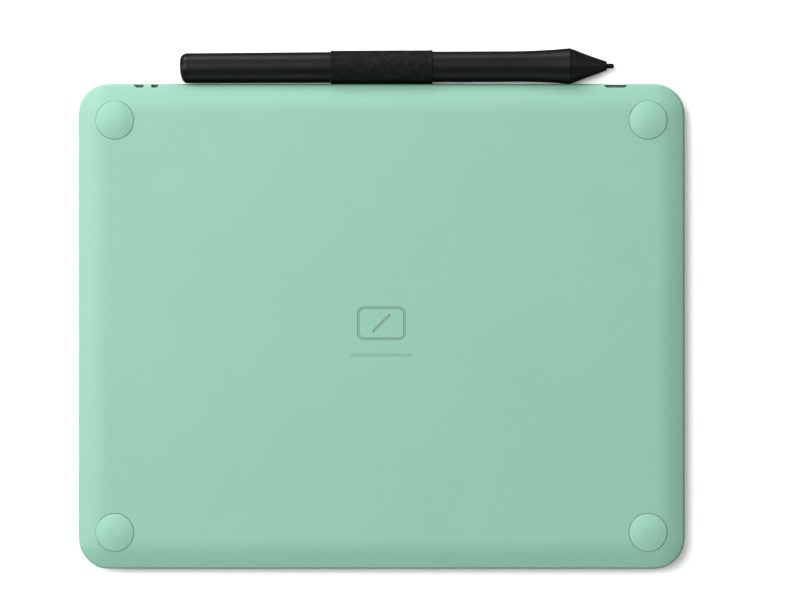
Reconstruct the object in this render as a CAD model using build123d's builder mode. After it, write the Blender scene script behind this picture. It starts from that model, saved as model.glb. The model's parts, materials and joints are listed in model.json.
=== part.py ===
from build123d import *
from math import asin, cos, degrees, radians, sin, sqrt
import os

# A pen drawing tablet with its pen held in a fabric loop on the far edge. Millimetres.
# The tablet stands on its feet at z = 0 with the drawing surface up. +Y points to the pen, and
# the origin is under the middle of the box that holds the tablet and the pen together.

# ---------------------------------------------------------------- tablet casing
tablet_width = 200.0
tablet_depth = 160.0
tablet_y = -6.0  # the tablet's middle, behind the origin because the pen adds to the far side
corner_radius = 10.0
shell_z = 0.7  # flat underside of the back cover, held off the desk by the feet
parting_z = 6.6  # where the back and front covers meet
face_z = 8.8  # drawing surface
wall = 1.8
floor_z = 2.2  # inner floor of the back cover
cavity_side_z = 3.6  # the inner floor rises to this height beside the wall
cavity_slope = 8.0  # width over which it rises

belly_angle = 24.0  # steepest slope of the underside where it curves up to the edge
belly_radius = 21.0
edge_radius = 1.4
wall_base_z = (
    shell_z
    + edge_radius * cos(radians(belly_angle))
    + belly_radius * (1 - cos(radians(belly_angle)))
)

foot_spacing_x = 175.5
foot_spacing_y = 135.7
foot_radius = 6.35
recess_radius = 6.39
recess_z = 1.7  # roof of each foot's recess
foot_rim = 0.4  # rounding of the rim of each foot
foot_flat_radius = 1.5
foot_dome_radius = 25.0

root_z = floor_z - 0.5  # ribs and posts start inside the floor
boss_skirt = 1.0  # plastic round a recess
boss_floor_z = 3.0  # plastic over a recess
boss_radius = 3.2
boss_top_z = 4.2
boss_gap = 0.05
cover_boss_radius = 2.6
screw_radius = 1.0
screw_head_radius = 1.9
screw_head_height = 0.95
screw_seat_z = 2.7
screw_top_z = 6.9
screw_clearance = 0.05
screw_hole_gap = 0.1
cross_length = 2.4
cross_width = 0.45
cross_depth = 0.5

# ---------------------------------------------------------------- openings in the far edge
edge_y = tablet_depth / 2
notch_depth = 1.3
usb_x = -77.2
usb_notch_width = 7.6
usb_width = 7.5
usb_bottom_z = 3.6
usb_top_z = 6.05
usb_strip_z = 6.2  # underside of the strip that closes the notch over the port
usb_strip_depth = 3.4
usb_strip_gap = 0.05
usb_strip_round = 0.12
usb_length = 5.8
usb_back = 1.5
usb_skin = 0.3
usb_tongue_half_width = 2.6
usb_tongue_thickness = 0.6
usb_tongue_inset = 1.0
usb_opening_depth = 4.5
usb_cut_corner = 0.8
usb_gap = 0.12
tether_wide_x = 80.1
tether_wide = 3.3
tether_wide_corners = (0.3, 0.9)
tether_narrow_x = 74.8
tether_narrow = 2.3
tether_narrow_corners = (0.5, 0.3)
tether_notch_roof_z = 4.7
tether_tunnel_bottom_z = 3.3
tether_tunnel_top_z = 4.6
tether_tunnel_left = 73.9
tether_tunnel_right = 81.3
tether_tunnel_depth = 1.7
tether_block_left = 71.5
tether_block_right = 84.5
tether_block_depth = 5.7
loop_width = 33.7
slit_width = 34.4
slit_bottom_z = 5.5
pocket_half_width = 19.5
fence_thickness = 1.0
fence_top_z = 6.2
pocket_base_z = 2.4  # inside the floor behind the anchor
edge_base_z = 2.85  # inside the rising floor beside the wall

mark_y = 1.0
mark_width = 16.0
mark_height = 11.0
mark_corner = 2.4
mark_line = 0.8
mark_stroke = 8.0
mark_slant = -45.0
mark_depth = 0.15
bar_y = -9.5
bar_length = 20.0
bar_width = 0.9
bar_depth = 0.08

# ---------------------------------------------------------------- front cover, tray and keys
cover_inset = 0.2
cover_wall = 2.0
plate_z = 7.0  # underside of the front plate
cover_edge_radius = 0.7
lip_bottom_z = 5.4
lip_gap = 0.1
lip_thickness = 1.0
lip_break = 10.0  # depth over which the lip stops short of the far edge
sheet_thickness = 0.3
sheet_width = 195.0
sheet_depth = 127.5
sheet_y = -13.75
sheet_radius = 7.5
sheet_gap = 0.1

tray_y = 64.5
tray_chord = 13.0
tray_depth = 1.5
tray_half_run = 71.0  # to the middle of each ball-shaped end
tray_radius = ((tray_chord / 2) ** 2 + tray_depth**2) / (2 * tray_depth)
tray_bed_z = 6.4  # underside of the thicker plate below the tray
tray_bed_width = 162.0
tray_bed_depth = 16.0
tray_bed_corner = 3.0

key_names = ["key_outer_left", "key_inner_left", "key_inner_right", "key_outer_right"]
key_places = [-54.0, -22.0, 22.0, 54.0]
key_length = 30.0
key_depth = 7.0
key_corner = 1.2
key_gap = 0.2
key_proud = 0.3  # how far a key stands above the bed of the tray
key_flange = 0.7
flange_top_z = 6.35
flange_bottom_z = 5.85
plunger_bottom_z = 5.65
key_plunger_radius = 1.5
power_radius = 3.75
power_plunger_x = 3.0
power_plunger_radius = 0.8
light_pipe_radius = 0.9
light_pipe_bottom_z = 5.6

# ---------------------------------------------------------------- boards and battery
board_bottom_z = 3.4
board_top_z = 4.4
board_left = -83.5
board_right = 72.0
board_near = 44.0
board_far = 72.0
board_tab_far = 75.5
board_tab_right = -70.9
board_screw_places = [(-79.5, 48.0), (68.0, 48.0), (-6.0, 70.3)]
board_post_radius = 2.4
board_hole_bottom_z = 2.3
board_screw_bottom_z = 2.5
chip_sizes = [  # x, y, width, depth, height
    (-44.0, 49.0, 7.0, 7.0, 0.9),
    (-31.0, 49.5, 5.0, 5.0, 0.8),
    (-20.0, 48.0, 3.0, 3.0, 0.8),
    (46.0, 49.0, 6.0, 5.0, 0.9),
    (56.0, 48.5, 4.0, 4.0, 0.8),
    (-70.0, 66.0, 3.0, 2.5, 0.9),
]
wireless_board = (-68.0, -53.0, 45.0, 55.0)  # left, right, near and far side
wireless_can = (-67.0, -57.0, 46.0, 54.0)
wireless_thickness = 0.5
wireless_top_z = 5.8
switch_base = 4.6
power_switch_width = 2.8
power_switch_depth = 3.0
switch_base_top_z = 4.9
switch_dome_top_z = 5.2
led_width = 1.6
led_depth = 1.0
led_height = 0.6
sensor_width = 166.0
sensor_depth = 110.0
sensor_corner = 1.0
sensor_y = -14.0
sensor_bottom_z = 5.95
sensor_top_z = 6.95
shield_thickness = 0.2
shield_short = 5.0  # the shield leaves the far edge of the sensor bare for the cable
battery_width = 64.0
battery_depth = 40.0
battery_height = 3.2
battery_y = 20.0
battery_corner = 1.5
battery_round = 0.8
battery_gap = 0.1
rib = 1.0
rib_top_z = 4.2
end_rib_half_length = 18.0
support_radius = 1.6
support_top_z = 5.7
cable_width = 20.0
cable_thickness = 0.15
cable_grip = 3.5  # how far the cable runs under the sensor
cable_bend = 0.4
cable_drop_start = 0.8  # beyond the sensor's far edge
cable_drop_end = 3.2
cable_socket_z = 4.9
connector_y = 47.5
connector_depth = 4.0
ribbon_connector_width = 22.0
ribbon_connector_height = 1.1
battery_connector_x = 29.0
battery_connector_width = 6.0
battery_connector_height = 1.5
wire_radius = 0.45
wire_start_z = 4.7
wire_pitch = 2.0
wire_bend = 1.5
wire_stub = 1.6

# ---------------------------------------------------------------- pen, measured from its tail
pen_tilt = 0.29  # degrees; the loop holds the pen slightly out of line with the edge
pen_y = 85.7  # from the tablet's middle to the pen's axis, at the loop
pen_z = 6.1
pen_tail_to_loop = 66.65
pen_length = 143.6
barrel_radius = 5.1
tail_radius = 4.96
tail_round = 2.4
cap_length = 2.6
cap_plug_end = 7.4
cap_plug_radius = 3.85
cap_hollow_start = 3.4
cap_hollow_radius = 2.9
puller_start = 1.8
puller_depth = 3.0
seam = 0.05
bore_radius = 3.9
taper_end = 46.0
barrel_split = 62.0
spigot_start = 54.5
spigot_radius = 3.85
spigot_bore = 3.2
spigot_bore_end = 63.5
flare_start = 110.0
flare_middle = 121.5
flare_middle_radius = 5.42
flare_end = 128.6
flare_radius = 5.98
flare_slope = 0.11
barrel_end = 129.3
barrel_end_radius = 5.84
nose_start = 129.38
nose_start_radius = 5.78
collar_end = 130.2
collar_end_radius = 5.6
groove_width = 0.2
groove_radius = 5.42
cone_start_radius = 5.5
cone_upper = (133.4, 4.27)
cone_lower = (137.4, 2.79)
nose_end = 141.1
nose_tip_radius = 1.62
nose_tip_round = 0.3
nose_hole_radius = 0.9
nose_hole_start = 138.0
nose_bore_end = 129.0
nose_bore_radius = 3.5
nose_spigot_start = 126.6
nose_socket_start = 126.5
nose_socket_radius = 4.65
nose_spigot_radius = 4.6
nib_radius = 0.82
nib_grip = 0.02
nib_start = 118.4
ferrite_start = 118.8
ferrite_end = 128.8
ferrite_radius = 2.1
ferrite_bore = 1.0
coil_start = 121.0
coil_end = 127.5
coil_radius = 3.1
puck_start = 115.5
puck_face = 118.0
puck_end = 120.5
puck_hole_radius = 1.1
carrier_radius = 3.7
carrier_start = 64.0
carrier_end = 115.4
pen_board_start = 66.0
pen_board_end = 115.0
pen_board_width = 6.2
pen_board_thickness = 0.8
pen_chip_sizes = [(78.0, 5.0, 4.0), (70.5, 2.5, 2.0)]  # distance, length, width
pen_chip_height = 0.9
rocker_middle = 102.0
rocker_length = 24.2
rocker_width = 4.8
rocker_slot_length = 25.0
rocker_slot_width = 5.6
rocker_slot_bottom = 2.5
rocker_proud = 0.35
rocker_underside = 3.2
rocker_edge = 0.3
waist_radius = 2.2
waist_height = 7.15
ear_length = 3.0
ear_width = 4.4
ear_bottom = 1.9
rocker_pin_height = 3.0
rocker_pin_radius = 0.5
rocker_pin_clearance = 0.05
rocker_pin_half_length = 3.4
rocker_nub_offset = 8.0
rocker_nub_radius = 1.0
rocker_nub_bottom = 1.05
dome_radius = 1.7
dome_height = 0.6
nib_holder_start = 14.0
nib_holder_end = 46.0
nib_holder_radius = 3.8
spare_nib_circle = 2.1
spare_nib_hole = 0.89
spare_nib_count = 3
spare_nib_start = 10.0
spare_nib_length = 24.0
spare_nib_round = 0.4

loop_skin = 0.42  # thickness of the woven band
loop_gap = 0.12  # between the band and the barrel
loop_tail_thickness = 0.8
loop_tail_z = 6.0
anchor_width = 36.0
anchor_near = 73.6
anchor_far = 76.6
anchor_bottom_z = 5.0
anchor_top_z = 6.95
anchor_slot_near = 74.6
anchor_gap = 0.08

below = -2.0  # any height safely under the object, where cuts from below begin
above = face_z + 1.0  # and one over the tablet, where cuts through it end
overlap = 0.1  # how far joined shapes run into each other


def level(z):
    """The horizontal plane at height z, centred on the tablet."""
    return Plane((0, tablet_y, z))


def slab(x0, x1, y0, y1, z0, z1, mode=Mode.ADD):
    """A box between two corners, in the tablet's own x and y."""
    with BuildSketch(level(z0)) as profile:
        with Locations(((x0 + x1) / 2, (y0 + y1) / 2)):
            Rectangle(x1 - x0, y1 - y0)
    extrude(profile.sketch, amount=z1 - z0, mode=mode)


def posts(places, radius, z0, z1, mode=Mode.ADD):
    """A round post, or with Mode.SUBTRACT a hole, at each of the places."""
    with BuildSketch(level(z0)) as profile:
        with Locations(*places):
            Circle(radius)
    extrude(profile.sketch, amount=z1 - z0, mode=mode)


def plate(width, depth, radius, y, z0, z1, mode=Mode.ADD):
    """A flat plate with rounded corners, centred on x = 0."""
    with BuildSketch(level(z0)) as profile:
        with Locations((0, y)):
            RectangleRounded(width, depth, radius)
    extrude(profile.sketch, amount=z1 - z0, mode=mode)


def notch(x, width, slant_left, slant_right, z1):
    """Cuts a notch into the far edge, from below up to z1, with its inner corners cut off."""
    left, right = x - width / 2, x + width / 2
    inner = edge_y - notch_depth
    with BuildSketch(level(below)) as profile:
        with BuildLine():
            Polyline(
                (left, edge_y + 1),
                (left, inner + slant_left),
                (left + slant_left, inner),
                (right - slant_right, inner),
                (right, inner + slant_right),
                (right, edge_y + 1),
                close=True,
            )
        make_face()
    extrude(profile.sketch, amount=z1 - below, mode=Mode.SUBTRACT)


def cut_tray(raised=0.0):
    """Cuts the pen tray's long hollow, a cylinder with ball ends; raised lifts it for the keys."""
    z = face_z - tray_depth + tray_radius + raised
    with Locations((0, tablet_y + tray_y, z)):
        Cylinder(tray_radius, 2 * tray_half_run, rotation=(0, 90, 0), mode=Mode.SUBTRACT)
    for x in (-tray_half_run, tray_half_run):
        with Locations((x, tablet_y + tray_y, z)):
            Sphere(tray_radius, mode=Mode.SUBTRACT)


foot_places = [
    (x, y)
    for y in (foot_spacing_y / 2, -foot_spacing_y / 2)
    for x in (-foot_spacing_x / 2, foot_spacing_x / 2)
]
foot_names = ["foot_rear_left", "foot_rear_right", "foot_front_left", "foot_front_right"]
support_places = [(x, y) for x in (-60.0, 60.0) for y in (-55.0, -22.0, 12.0)]

# ================================================================ tablet casing
with BuildPart() as back_cover:
    plate(tablet_width, tablet_depth, corner_radius, 0, shell_z, parting_z)

    # The underside curves up to the edge all round: a profile swept along the outline cuts it.
    with BuildLine() as outline:
        corner = Vector(tablet_width / 2, tablet_y + corner_radius - tablet_depth / 2)
        heading = Vector(0, 1)
        for side in (tablet_depth, tablet_width, tablet_depth, tablet_width):
            run = Line(corner, corner + heading * (side - 2 * corner_radius))
            turn = JernArc(start=run @ 1, tangent=run % 1, radius=corner_radius, arc_size=90)
            corner, heading = turn @ 1, turn % 1
    profile_start = (tablet_width / 2, tablet_y + corner_radius - tablet_depth / 2, 0)
    with BuildSketch(Plane(profile_start, x_dir=(-1, 0, 0), z_dir=(0, 1, 0))):
        with BuildLine():
            edge = JernArc(
                start=(0, wall_base_z),
                tangent=(0, -1),
                radius=edge_radius,
                arc_size=90 - belly_angle,
            )
            belly = JernArc(
                start=edge @ 1,
                tangent=edge % 1,
                radius=belly_radius,
                arc_size=belly_angle,
            )
            Polyline(
                belly @ 1,
                ((belly @ 1).X, below),
                (below, below),
                (below, wall_base_z),
                (0, wall_base_z),
            )
        make_face()
    sweep(path=outline.wires()[0], mode=Mode.SUBTRACT)

    # Hollow inside, with a floor that rises towards the wall.
    low_inset = 2 * (wall + cavity_slope)
    with BuildSketch(level(floor_z)):
        RectangleRounded(
            tablet_width - low_inset, tablet_depth - low_inset, corner_radius - wall - cavity_slope
        )
    with BuildSketch(level(cavity_side_z)):
        RectangleRounded(tablet_width - 2 * wall, tablet_depth - 2 * wall, corner_radius - wall)
    loft(ruled=True, mode=Mode.SUBTRACT)
    plate(
        tablet_width - 2 * wall,
        tablet_depth - 2 * wall,
        corner_radius - wall,
        0,
        cavity_side_z,
        parting_z,
        Mode.SUBTRACT,
    )

    # Bosses over the feet, each with its foot's recess and a countersunk screw hole.
    posts(foot_places, recess_radius + boss_skirt, root_z, boss_floor_z)
    posts(foot_places, boss_radius, floor_z, boss_top_z)
    posts(foot_places, recess_radius, below, recess_z, Mode.SUBTRACT)
    posts(foot_places, screw_head_radius + screw_hole_gap, below, screw_seat_z, Mode.SUBTRACT)
    posts(foot_places, screw_radius + screw_hole_gap, below, boss_top_z, Mode.SUBTRACT)

    # Supports for the sensor stack, and posts for the main board's screws.
    posts(support_places, support_radius, root_z, support_top_z)
    posts(board_screw_places, board_post_radius, root_z, board_bottom_z)
    board_hole_radius = screw_radius + screw_clearance
    posts(
        board_screw_places,
        board_hole_radius,
        board_hole_bottom_z,
        board_bottom_z,
        Mode.SUBTRACT,
    )

    # A frame of ribs round the battery.
    frame_half_x = battery_width / 2 + battery_gap
    frame_half_y = battery_depth / 2 + battery_gap
    battery_near = battery_y - frame_half_y
    battery_far = battery_y + frame_half_y
    slab(-frame_half_x - rib, -frame_half_x, battery_near, battery_far, root_z, rib_top_z)
    slab(frame_half_x, frame_half_x + rib, battery_near, battery_far, root_z, rib_top_z)
    rib_left, rib_right = -end_rib_half_length, end_rib_half_length
    slab(rib_left, rib_right, battery_near - rib, battery_near, root_z, rib_top_z)
    slab(rib_left, rib_right, battery_far, battery_far + rib, root_z, rib_top_z)

    # The pocket that traps the loop's anchor behind the slit: a shelf, a lip and a fence.
    pocket_left, pocket_right = -pocket_half_width, pocket_half_width
    lip_y = anchor_far + anchor_gap
    fence_far = anchor_near - anchor_gap
    fence_near = fence_far - fence_thickness
    shelf_z = anchor_bottom_z - anchor_gap
    slab(pocket_left, pocket_right, fence_near, lip_y, pocket_base_z, shelf_z)
    slab(pocket_left, pocket_right, lip_y, edge_y - 1.0, edge_base_z, slit_bottom_z)
    slab(pocket_left, pocket_right, fence_near, fence_far, pocket_base_z, fence_top_z)
    slab(
        -slit_width / 2,
        slit_width / 2,
        anchor_far,
        edge_y + 1,
        slit_bottom_z,
        parting_z,
        Mode.SUBTRACT,
    )

    # The tether block: two notches joined by a tunnel behind a bar.
    notch_inner_y = edge_y - notch_depth
    slab(
        tether_block_left,
        tether_block_right,
        edge_y - tether_block_depth,
        edge_y - 1.0,
        edge_base_z,
        fence_top_z,
    )
    notch(tether_wide_x, tether_wide, *tether_wide_corners, tether_notch_roof_z)
    notch(tether_narrow_x, tether_narrow, *tether_narrow_corners, tether_notch_roof_z)
    slab(
        tether_tunnel_left,
        tether_tunnel_right,
        notch_inner_y - tether_tunnel_depth,
        notch_inner_y + overlap,
        tether_tunnel_bottom_z,
        tether_tunnel_top_z,
        Mode.SUBTRACT,
    )

    # The notch and the wall openings for the USB port and the strip over it.
    notch(usb_x, usb_notch_width, usb_cut_corner, usb_cut_corner, parting_z)
    slab(
        usb_x - usb_notch_width / 2,
        usb_x + usb_notch_width / 2,
        edge_y - usb_strip_depth - usb_strip_gap,
        edge_y + 1,
        usb_strip_z,
        parting_z,
        Mode.SUBTRACT,
    )
    slab(
        usb_x - usb_width / 2 - usb_gap,
        usb_x + usb_width / 2 + usb_gap,
        edge_y - usb_opening_depth,
        notch_inner_y + overlap,
        usb_bottom_z - usb_gap,
        usb_top_z + usb_gap,
        Mode.SUBTRACT,
    )

    # A plain mark pressed into the underside: a frame with a slanting stroke, over a short bar.
    with BuildSketch(level(below)):
        with Locations((0, mark_y)):
            RectangleRounded(mark_width, mark_height, mark_corner)
            RectangleRounded(
                mark_width - 2 * mark_line,
                mark_height - 2 * mark_line,
                mark_corner - mark_line,
                mode=Mode.SUBTRACT,
            )
            SlotOverall(mark_stroke, mark_line, rotation=mark_slant)
    extrude(amount=shell_z + mark_depth - below, mode=Mode.SUBTRACT)
    with BuildSketch(level(below)):
        with Locations((0, bar_y)):
            SlotOverall(bar_length, bar_width)
    extrude(amount=shell_z + bar_depth - below, mode=Mode.SUBTRACT)
back_cover.part.label = "back_cover"

feet = []
for name, (x, y) in zip(foot_names, foot_places):
    with BuildPart() as foot:
        # A disc turned from a profile: a small flat, a shallow dome and a rounded rim.
        dome_centre_z = sqrt(foot_dome_radius**2 - foot_flat_radius**2)
        flat_angle = degrees(asin(foot_flat_radius / foot_dome_radius))
        dome_angle = degrees(asin((foot_radius - foot_rim) / foot_dome_radius))
        with BuildSketch(Plane((x, tablet_y + y, 0), x_dir=(1, 0, 0), z_dir=(0, -1, 0))):
            with BuildLine():
                dome = CenterArc(
                    center=(0, dome_centre_z),
                    radius=foot_dome_radius,
                    start_angle=270 + flat_angle,
                    arc_size=dome_angle - flat_angle,
                )
                rim = TangentArc(
                    dome @ 1, (foot_radius, (dome @ 1).Y + foot_rim), tangent=dome % 1
                )
                Polyline(rim @ 1, (foot_radius, recess_z), (0, recess_z), (0, 0), dome @ 0)
            make_face()
        revolve(axis=Axis((x, tablet_y + y, 0), (0, 0, 1)))
    foot.part.label = name
    feet.append(foot)

lip_outer = wall + lip_gap
lip_inner = lip_outer + lip_thickness
with BuildPart() as front_cover:
    plate(
        tablet_width - 2 * cover_inset,
        tablet_depth - 2 * cover_inset,
        corner_radius - cover_inset,
        0,
        parting_z,
        face_z,
    )
    fillet(front_cover.faces().sort_by(Axis.Z)[-1].edges(), radius=cover_edge_radius)
    plate(
        tablet_width - 2 * cover_wall,
        tablet_depth - 2 * cover_wall,
        corner_radius - cover_wall,
        0,
        parting_z,
        plate_z,
        Mode.SUBTRACT,
    )

    # A lip that drops inside the back cover's wall on three sides.
    with BuildSketch(level(lip_bottom_z)):
        RectangleRounded(
            tablet_width - 2 * lip_outer, tablet_depth - 2 * lip_outer, corner_radius - lip_outer
        )
        RectangleRounded(
            tablet_width - 2 * lip_inner,
            tablet_depth - 2 * lip_inner,
            corner_radius - lip_inner,
            mode=Mode.SUBTRACT,
        )
        with Locations((0, edge_y)):
            Rectangle(tablet_width, 2 * lip_break, mode=Mode.SUBTRACT)
    extrude(amount=plate_z + overlap - lip_bottom_z)

    # Bosses that take the screws from under the feet.
    posts(foot_places, cover_boss_radius, boss_top_z + boss_gap, plate_z + overlap)
    boss_hole_radius = screw_radius + screw_clearance
    posts(foot_places, boss_hole_radius, below, screw_top_z + screw_hole_gap, Mode.SUBTRACT)

    # The recess for the drawing surface, and the pen tray with its thicker bed.
    plate(
        sheet_width,
        sheet_depth,
        sheet_radius,
        sheet_y,
        face_z - sheet_thickness,
        above,
        Mode.SUBTRACT,
    )
    plate(
        tray_bed_width,
        tray_bed_depth,
        tray_bed_corner,
        tray_y,
        tray_bed_z,
        plate_z + overlap,
    )
    cut_tray()

    # Openings for the keys and the power button.
    for x in key_places:
        with BuildSketch(level(below)):
            with Locations((x, tray_y)):
                RectangleRounded(
                    key_length + 2 * key_gap, key_depth + 2 * key_gap, key_corner + key_gap
                )
        extrude(amount=above - below, mode=Mode.SUBTRACT)
    posts([(0, tray_y)], power_radius + key_gap, below, above, Mode.SUBTRACT)
front_cover.part.label = "front_cover"

with BuildPart() as surface_sheet:
    plate(
        sheet_width - 2 * sheet_gap,
        sheet_depth - 2 * sheet_gap,
        sheet_radius - sheet_gap,
        sheet_y,
        face_z - sheet_thickness,
        face_z,
    )
surface_sheet.part.label = "surface_sheet"

# ================================================================ keys and power button
keys = []
for name, x in zip(key_names, key_places):
    with BuildPart() as key:
        # The cap follows the tray's hollow; the flange keeps it in, and the plunger meets the switch.
        with BuildSketch(level(flange_top_z)):
            with Locations((x, tray_y)):
                RectangleRounded(key_length, key_depth, key_corner)
        extrude(amount=above - flange_top_z)
        cut_tray(raised=key_proud)
        with BuildSketch(level(flange_bottom_z)):
            with Locations((x, tray_y)):
                RectangleRounded(
                    key_length + 2 * key_flange, key_depth + 2 * key_flange, key_corner
                )
        extrude(amount=flange_top_z - flange_bottom_z)
        posts([(x, tray_y)], key_plunger_radius, plunger_bottom_z, flange_bottom_z)
    key.part.label = name
    keys.append(key)

with BuildPart() as power_button:
    posts([(0, tray_y)], power_radius, flange_top_z, above)
    cut_tray(raised=key_proud)
    posts([(0, tray_y)], power_radius + key_flange, flange_bottom_z, flange_top_z)
    posts([(power_plunger_x, tray_y)], power_plunger_radius, plunger_bottom_z, flange_bottom_z)
    posts([(0, tray_y)], light_pipe_radius, plunger_bottom_z, above, Mode.SUBTRACT)
power_button.part.label = "power_button"

with BuildPart() as status_light_pipe:
    posts([(0, tray_y)], light_pipe_radius, light_pipe_bottom_z, face_z - tray_depth + key_proud)
status_light_pipe.part.label = "status_light_pipe"

# ================================================================ boards, battery and wiring
with BuildPart() as main_board:
    slab(board_left, board_right, board_near, board_far, board_bottom_z, board_top_z)
    slab(board_left, board_tab_right, board_far, board_tab_far, board_bottom_z, board_top_z)
    slab(
        usb_x - usb_width / 2 - usb_gap,
        usb_x + usb_width / 2 + usb_gap,
        edge_y - notch_depth - usb_length - usb_gap,
        edge_y,
        below,
        above,
        Mode.SUBTRACT,
    )
    posts(board_screw_places, screw_radius + screw_clearance, below, above, Mode.SUBTRACT)
main_board.part.label = "main_board"

with BuildPart() as board_chips:
    for x, y, width, depth, height in chip_sizes:
        with Locations((x, tablet_y + y, board_top_z + height / 2)):
            Box(width, depth, height)
board_chips.part.label = "board_chips"

with BuildPart() as wireless_module:
    wireless_board_z = board_top_z + wireless_thickness
    slab(*wireless_board, board_top_z, wireless_board_z)
    slab(*wireless_can, wireless_board_z, wireless_top_z)
wireless_module.part.label = "wireless_module"

with BuildPart() as key_switches:
    for x in key_places:
        slab(
            x - switch_base / 2,
            x + switch_base / 2,
            tray_y - switch_base / 2,
            tray_y + switch_base / 2,
            board_top_z,
            switch_base_top_z,
        )
        posts([(x, tray_y)], key_plunger_radius, switch_base_top_z, switch_dome_top_z)
    slab(
        power_plunger_x - power_switch_width / 2,
        power_plunger_x + power_switch_width / 2,
        tray_y - power_switch_depth / 2,
        tray_y + power_switch_depth / 2,
        board_top_z,
        switch_base_top_z,
    )
    posts([(power_plunger_x, tray_y)], power_plunger_radius, switch_base_top_z, switch_dome_top_z)
key_switches.part.label = "key_switches"

with BuildPart() as status_led:
    with Locations((0, tablet_y + tray_y, board_top_z + led_height / 2)):
        Box(led_width, led_depth, led_height)
status_led.part.label = "status_led"

with BuildPart() as usb_port:
    # A drawn steel shell with its lower corners cut off, open towards the edge, and its tongue.
    usb_mouth_y = edge_y - notch_depth
    mouth_plane = Plane((usb_x, tablet_y + usb_mouth_y, 0), x_dir=(1, 0, 0), z_dir=(0, -1, 0))
    half = usb_width / 2
    with BuildSketch(mouth_plane) as shell_outline:
        with BuildLine():
            Polyline(
                (-half, usb_top_z),
                (half, usb_top_z),
                (half, usb_bottom_z + usb_cut_corner),
                (half - usb_cut_corner, usb_bottom_z),
                (usb_cut_corner - half, usb_bottom_z),
                (-half, usb_bottom_z + usb_cut_corner),
                close=True,
            )
        make_face()
    extrude(amount=usb_length)
    with BuildSketch(mouth_plane):
        add(shell_outline.sketch_local)
        offset(amount=-usb_skin, kind=Kind.INTERSECTION, mode=Mode.REPLACE)
    extrude(amount=usb_length - usb_back, mode=Mode.SUBTRACT)
    tongue_z = (usb_bottom_z + usb_top_z) / 2 + overlap
    slab(
        usb_x - usb_tongue_half_width,
        usb_x + usb_tongue_half_width,
        usb_mouth_y - usb_length + usb_tongue_inset,
        usb_mouth_y - usb_tongue_inset,
        tongue_z,
        tongue_z + usb_tongue_thickness,
    )
usb_port.part.label = "usb_port"

with BuildPart() as usb_strip:
    # A strip of darker plastic over the port, caught between the two covers.
    slab(
        usb_x - usb_notch_width / 2 + usb_strip_gap,
        usb_x + usb_notch_width / 2 - usb_strip_gap,
        edge_y - usb_strip_depth,
        edge_y,
        usb_strip_z,
        parting_z - usb_strip_gap,
    )
    fillet(usb_strip.edges().filter_by(Axis.X), radius=usb_strip_round)
usb_strip.part.label = "usb_strip"

with BuildPart() as ribbon_connector:
    with Locations((0, tablet_y + connector_y, board_top_z + ribbon_connector_height / 2)):
        Box(ribbon_connector_width, connector_depth, ribbon_connector_height)
ribbon_connector.part.label = "ribbon_connector"

with BuildPart() as battery_connector:
    middle_z = board_top_z + battery_connector_height / 2
    with Locations((battery_connector_x, tablet_y + connector_y, middle_z)):
        Box(battery_connector_width, connector_depth, battery_connector_height)
battery_connector.part.label = "battery_connector"

with BuildPart() as board_screws:
    head_top_z = board_top_z + screw_head_height
    posts(board_screw_places, screw_radius, board_screw_bottom_z, board_top_z)
    posts(board_screw_places, screw_head_radius, board_top_z, head_top_z)
    with BuildSketch(level(head_top_z)):
        with Locations(*board_screw_places):
            Rectangle(cross_length, cross_width)
            Rectangle(cross_width, cross_length)
    extrude(amount=-cross_depth, mode=Mode.SUBTRACT)
board_screws.part.label = "board_screws"

with BuildPart() as cover_screws:
    head_z = screw_seat_z - screw_head_height
    posts(foot_places, screw_head_radius, head_z, screw_seat_z)
    posts(foot_places, screw_radius, screw_seat_z, screw_top_z)
    with BuildSketch(level(head_z)):
        with Locations(*foot_places):
            Rectangle(cross_length, cross_width)
            Rectangle(cross_width, cross_length)
    extrude(amount=cross_depth, mode=Mode.SUBTRACT)
cover_screws.part.label = "cover_screws"

with BuildPart() as sensor_board:
    plate(sensor_width, sensor_depth, sensor_corner, sensor_y, sensor_bottom_z, sensor_top_z)
sensor_board.part.label = "sensor_board"

with BuildPart() as shield_sheet:
    plate(
        sensor_width,
        sensor_depth - shield_short,
        sensor_corner,
        sensor_y - shield_short / 2,
        sensor_bottom_z - shield_thickness,
        sensor_bottom_z,
    )
shield_sheet.part.label = "shield_sheet"

with BuildPart() as sensor_cable:
    # A flat ribbon from under the sensor's far edge down into its connector.
    ribbon_z = sensor_bottom_z - cable_thickness / 2
    sensor_far = sensor_y + sensor_depth / 2
    connector_near = connector_y - connector_depth / 2
    cable_side = Plane((-cable_width / 2, tablet_y, 0), x_dir=(0, 1, 0), z_dir=(1, 0, 0))
    with BuildSketch(cable_side):
        with BuildLine():
            FilletPolyline(
                (sensor_far - cable_grip, ribbon_z),
                (sensor_far + cable_drop_start, ribbon_z),
                (sensor_far + cable_drop_end, cable_socket_z),
                (connector_near - cable_thickness / 2, cable_socket_z),
                radius=cable_bend,
            )
            offset(amount=cable_thickness / 2, side=Side.BOTH, kind=Kind.INTERSECTION)
        make_face()
    extrude(amount=cable_width)
sensor_cable.part.label = "sensor_cable"

with BuildPart() as battery:
    battery_z = floor_z + battery_gap
    plate(
        battery_width,
        battery_depth,
        battery_corner,
        battery_y,
        battery_z,
        battery_z + battery_height,
    )
    fillet(battery.edges().filter_by(Axis.X), radius=battery_round)
battery.part.label = "battery"

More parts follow.
